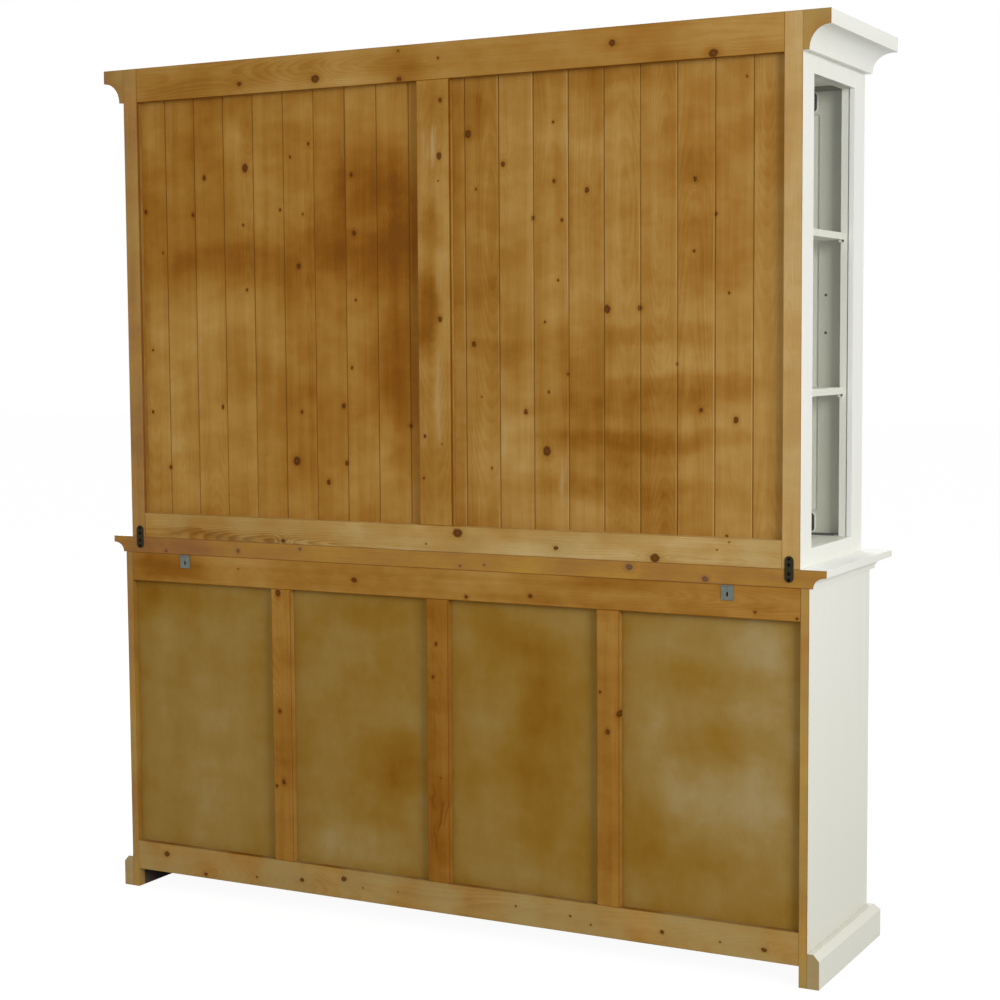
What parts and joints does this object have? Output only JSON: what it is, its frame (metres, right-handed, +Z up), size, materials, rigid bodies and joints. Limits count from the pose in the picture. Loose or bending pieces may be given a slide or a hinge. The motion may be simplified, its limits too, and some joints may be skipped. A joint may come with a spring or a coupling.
{
  "type": "buffet",
  "caption": "Buffet in white painted wood with a stained pine back: glazed hutch with sliding doors and end windows, on a cupboard base with panelled doors",
  "frame": {"origin": "on the floor, at the middle of the bounding box's footprint", "axes": "+Z up; the front with its doors faces -Y and the stained back faces +Y; +X is to the right of someone facing the front"},
  "size_m": [2.01, 0.5088, 2.2],
  "materials": {
    "stained_pine": "patchy brown stain on knotty pine, matt",
    "stained_sheet": "thin sheet, olive brown stain, matt",
    "white_paint": "warm white paint, satin",
    "clear_glass": "clear float glass",
    "black_steel": "black, semi-matt",
    "zinc_steel": "zinc plated, dull"
  },
  "bodies": {
    "carcass": {"base_back_bottom_rail": "stained_pine", "base_back_sheet": "stained_sheet", "base_back_stile_centre": "stained_pine", "base_back_stile_left": "stained_pine", "base_back_stile_right": "stained_pine", "base_back_top_rail": "stained_pine", "base_end_left": "white_paint", "base_end_right": "white_paint", "base_face_frame": "white_paint", "base_floor": "white_paint", "base_hinge_1_high": "black_steel", "base_hinge_1_low": "black_steel", "base_hinge_2_high": "black_steel", "base_hinge_2_low": "black_steel", "base_hinge_3_high": "black_steel", "base_hinge_3_low": "black_steel", "base_hinge_4_high": "black_steel", "base_hinge_4_low": "black_steel", "base_partition": "white_paint", "base_shelf_left": "white_paint", "base_shelf_right": "white_paint", "cornice": "white_paint", "end_glass_left": "clear_glass", "end_glass_right": "clear_glass", "hutch_back_boards": "stained_pine", "hutch_back_bottom_rail": "stained_pine", "hutch_back_centre_stile": "stained_pine", "hutch_back_top_rail": "stained_pine", "hutch_end_left": "white_paint", "hutch_end_right": "white_paint", "hutch_face_frame": "white_paint", "hutch_floor": "white_paint", "hutch_partition": "white_paint", "hutch_roof": "white_paint", "hutch_shelf_lower_left": "white_paint", "hutch_shelf_lower_right": "white_paint", "hutch_shelf_upper_left": "white_paint", "hutch_shelf_upper_right": "white_paint", "joining_plate_left": "black_steel", "joining_plate_right": "black_steel", "plinth": "white_paint", "wall_plate_left": "zinc_steel", "wall_plate_right": "zinc_steel", "worktop": "white_paint"},
    "sliding_door_left": {"sliding_door_left": "white_paint", "door_glass_left": "clear_glass", "door_pull_left": "black_steel"},
    "sliding_door_right": {"sliding_door_right": "white_paint", "door_glass_right": "clear_glass", "door_pull_right": "black_steel"},
    "base_door_1": {"base_door_1": "white_paint", "base_knob_1": "black_steel"},
    "base_door_2": {"base_door_2": "white_paint", "base_knob_2": "black_steel"},
    "base_door_3": {"base_door_3": "white_paint", "base_knob_3": "black_steel"},
    "base_door_4": {"base_door_4": "white_paint", "base_knob_4": "black_steel"}
  },
  "joints": [
    {"name": "left_door_slide", "type": "slide", "parent": "carcass", "child": "sliding_door_left", "axis": [1, 0, 0], "range_m": [0, 0.872]},
    {"name": "right_door_slide", "type": "slide", "parent": "carcass", "child": "sliding_door_right", "axis": [-1, 0, 0], "range_m": [0, 0.872]},
    {"name": "base_door_1_swing", "type": "hinge", "parent": "carcass", "child": "base_door_1", "pos_m": [-0.91675, -0.2037, 0.5], "axis": [0, 0, -1], "range_deg": [0, 110]},
    {"name": "base_door_2_swing", "type": "hinge", "parent": "carcass", "child": "base_door_2", "pos_m": [-0.03625, -0.2037, 0.5], "axis": [0, 0, 1], "range_deg": [0, 90]},
    {"name": "base_door_3_swing", "type": "hinge", "parent": "carcass", "child": "base_door_3", "pos_m": [0.03625, -0.2037, 0.5], "axis": [0, 0, -1], "range_deg": [0, 90]},
    {"name": "base_door_4_swing", "type": "hinge", "parent": "carcass", "child": "base_door_4", "pos_m": [0.91675, -0.2037, 0.5], "axis": [0, 0, 1], "range_deg": [0, 110]}
  ]
}
